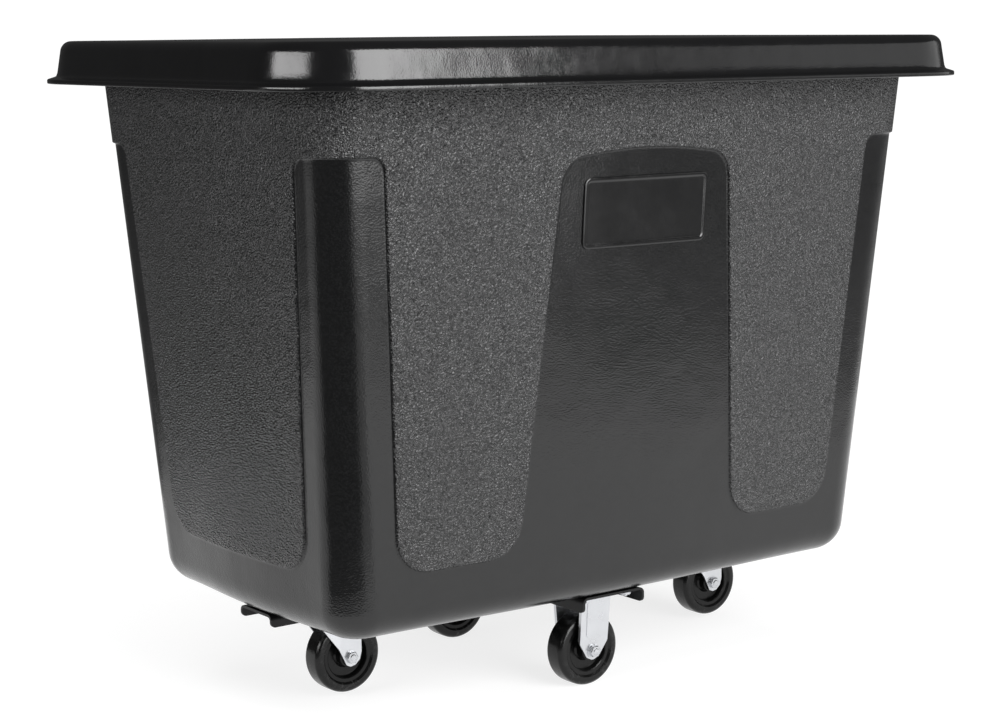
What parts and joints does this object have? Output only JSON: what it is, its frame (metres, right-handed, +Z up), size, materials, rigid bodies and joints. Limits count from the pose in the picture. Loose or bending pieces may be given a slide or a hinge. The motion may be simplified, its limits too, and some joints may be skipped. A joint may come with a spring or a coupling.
{
  "type": "bulk cube truck",
  "caption": "Tapered moulded tub with a lift-off domed lid, on crossed steel channels with swivel end casters and rigid middle casters in a diamond layout.",
  "frame": {"origin": "on the floor under the middle of the truck", "axes": "+X along the tub's long side, -Y the front long face with the nameplate, +Z up"},
  "size_m": [0.994, 0.644, 0.7736],
  "materials": {
    "tub_plastic": "moulded, pebble grain with smooth pillars",
    "lid_plastic": "smooth satin moulded",
    "nameplate_plastic": "smooth moulded",
    "channel_paint": "black powder coat",
    "zinc_fork": "bright zinc plate",
    "zinc_hardware": "zinc plate",
    "ball_steel": "polished",
    "wheel_core_plastic": "moulded",
    "tread_rubber": "hard moulded rubber",
    "bush_steel": "plain steel"
  },
  "bodies": {
    "truck": {"tub": "tub_plastic", "blank_nameplate": "nameplate_plastic", "long_channel": "channel_paint", "cross_arm_front": "channel_paint", "cross_arm_rear": "channel_paint", "weld_beads": "channel_paint", "floor_bolts": "zinc_hardware", "floor_washers": "zinc_hardware", "floor_nuts": "zinc_hardware", "swivel_plate_left": "channel_paint", "kingpin_left": "zinc_hardware", "lower_race_left": "zinc_fork", "swivel_plate_right": "channel_paint", "kingpin_right": "zinc_hardware", "lower_race_right": "zinc_fork", "rigid_fork_front": "zinc_fork", "rigid_axle_front": "zinc_hardware", "rigid_axle_nut_front": "zinc_hardware", "rigid_bush_front": "bush_steel", "rigid_fork_rear": "zinc_fork", "rigid_axle_rear": "zinc_hardware", "rigid_axle_nut_rear": "zinc_hardware", "rigid_bush_rear": "bush_steel"},
    "lid": {"lid": "lid_plastic"},
    "swivel_left": {"swivel_fork_left": "zinc_fork", "upper_balls_left": "ball_steel", "lower_balls_left": "ball_steel", "swivel_axle_left": "zinc_hardware", "swivel_axle_nut_left": "zinc_hardware", "swivel_bush_left": "bush_steel"},
    "swivel_right": {"swivel_fork_right": "zinc_fork", "upper_balls_right": "ball_steel", "lower_balls_right": "ball_steel", "swivel_axle_right": "zinc_hardware", "swivel_axle_nut_right": "zinc_hardware", "swivel_bush_right": "bush_steel"},
    "wheel_left": {"tread_left": "tread_rubber", "wheel_core_left": "wheel_core_plastic"},
    "wheel_right": {"tread_right": "tread_rubber", "wheel_core_right": "wheel_core_plastic"},
    "wheel_front": {"tread_front": "tread_rubber", "wheel_core_front": "wheel_core_plastic"},
    "wheel_rear": {"tread_rear": "tread_rubber", "wheel_core_rear": "wheel_core_plastic"}
  },
  "joints": [
    {"name": "lid_lift", "type": "slide", "parent": "truck", "child": "lid", "axis": [0, 0, 1], "range_m": [0, 0.45]},
    {"name": "swivel_turn_left", "type": "hinge", "parent": "truck", "child": "swivel_left", "pos_m": [-0.28675, 0, 0.1], "axis": [0, 0, 1], "continuous": true},
    {"name": "wheel_spin_left", "type": "hinge", "parent": "swivel_left", "child": "wheel_left", "pos_m": [-0.2564, 0, 0.05145], "axis": [0, 1, 0], "continuous": true},
    {"name": "swivel_turn_right", "type": "hinge", "parent": "truck", "child": "swivel_right", "pos_m": [0.28675, 0, 0.1], "axis": [0, 0, 1], "continuous": true},
    {"name": "wheel_spin_right", "type": "hinge", "parent": "swivel_right", "child": "wheel_right", "pos_m": [0.3171, 0, 0.05145], "axis": [0, 1, 0], "continuous": true},
    {"name": "wheel_spin_front", "type": "hinge", "parent": "truck", "child": "wheel_front", "pos_m": [0, -0.134, 0.04445], "axis": [0, 1, 0], "continuous": true},
    {"name": "wheel_spin_rear", "type": "hinge", "parent": "truck", "child": "wheel_rear", "pos_m": [0, 0.134, 0.04445], "axis": [0, 1, 0], "continuous": true}
  ]
}
